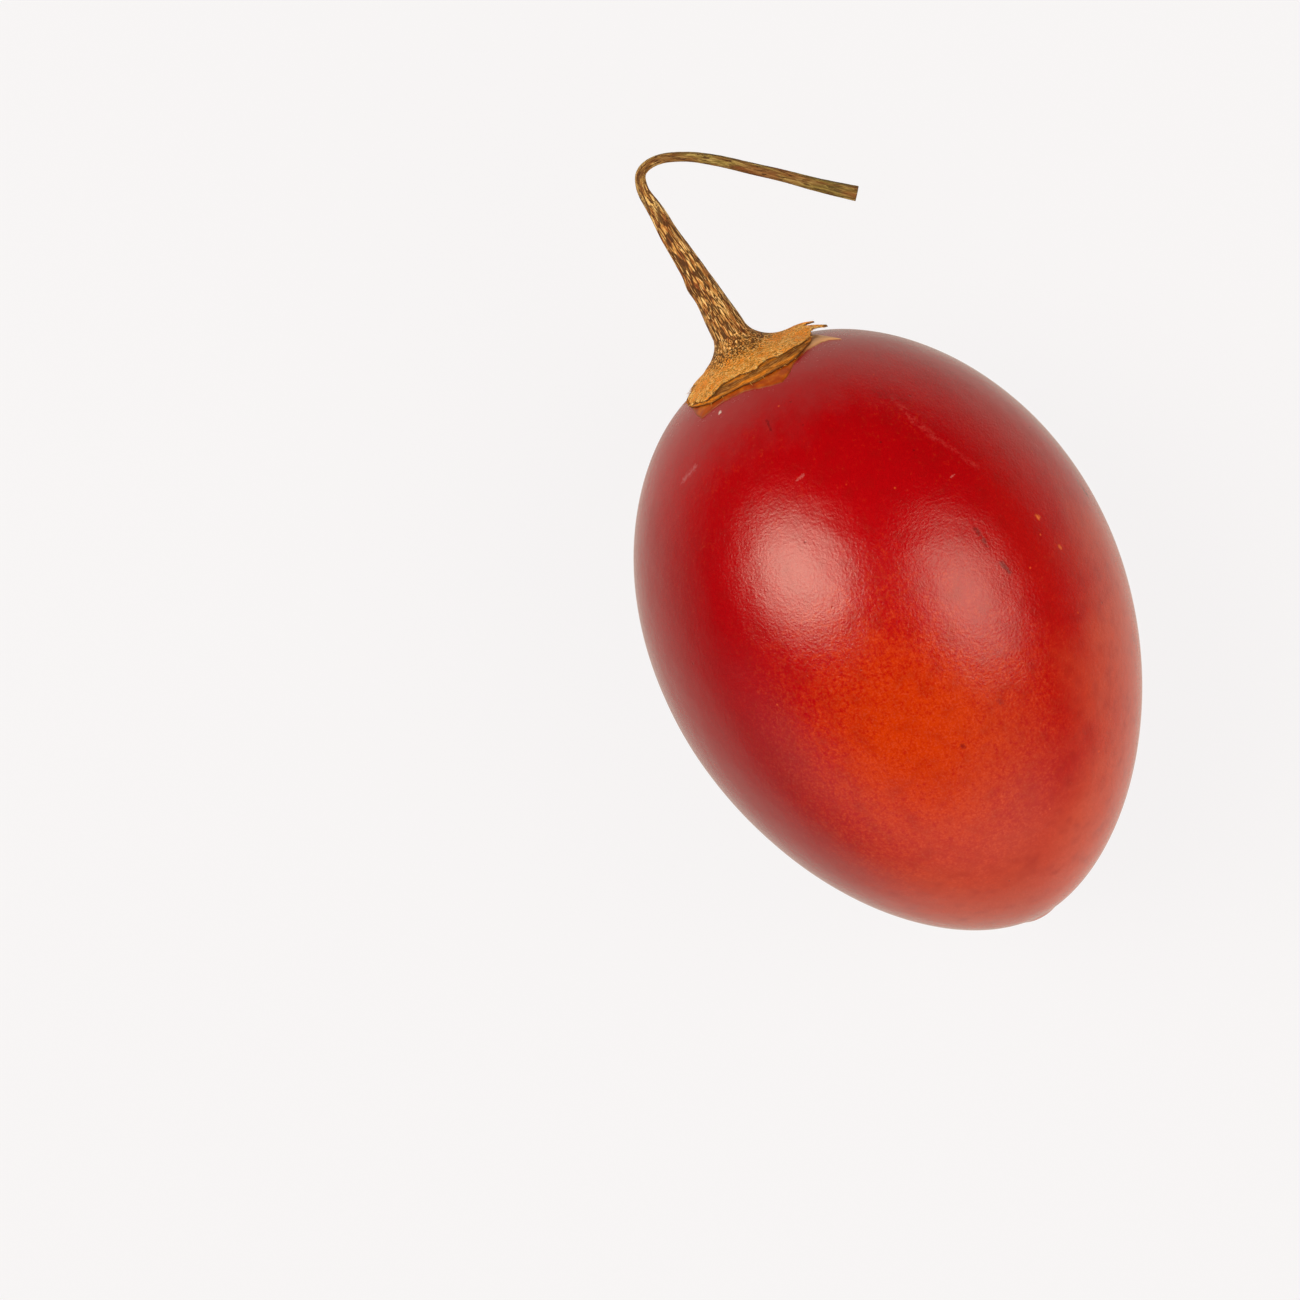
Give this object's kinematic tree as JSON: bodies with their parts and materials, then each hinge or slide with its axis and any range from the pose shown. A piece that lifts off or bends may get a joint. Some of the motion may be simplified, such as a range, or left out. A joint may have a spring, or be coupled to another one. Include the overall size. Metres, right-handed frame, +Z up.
{
  "type": "tamarillo",
  "caption": "Ripe red egg-shaped tamarillo lying on its side, with a ragged dry calyx and a long thin stem bent back in a hook.",
  "frame": {"origin": "middle of the small flat spot that the fruit rests on", "axes": "+X along the fruit from the stem end to the blossom end, +Z up, so the stem points to -X and its hook bends back towards +Y"},
  "size_m": [0.0905, 0.05, 0.0496],
  "materials": {
    "skin": "satin waxy fruit skin, crimson at the shoulders and orange red lower down",
    "calyx": "dry papery calyx, golden orange with brown specks and a dark margin",
    "stem": "dry woody stem, tan with dark fissures along it"
  },
  "bodies": {
    "root": {"fruit": "skin", "calyx": "calyx", "stem": "stem"}
  },
  "joints": []
}
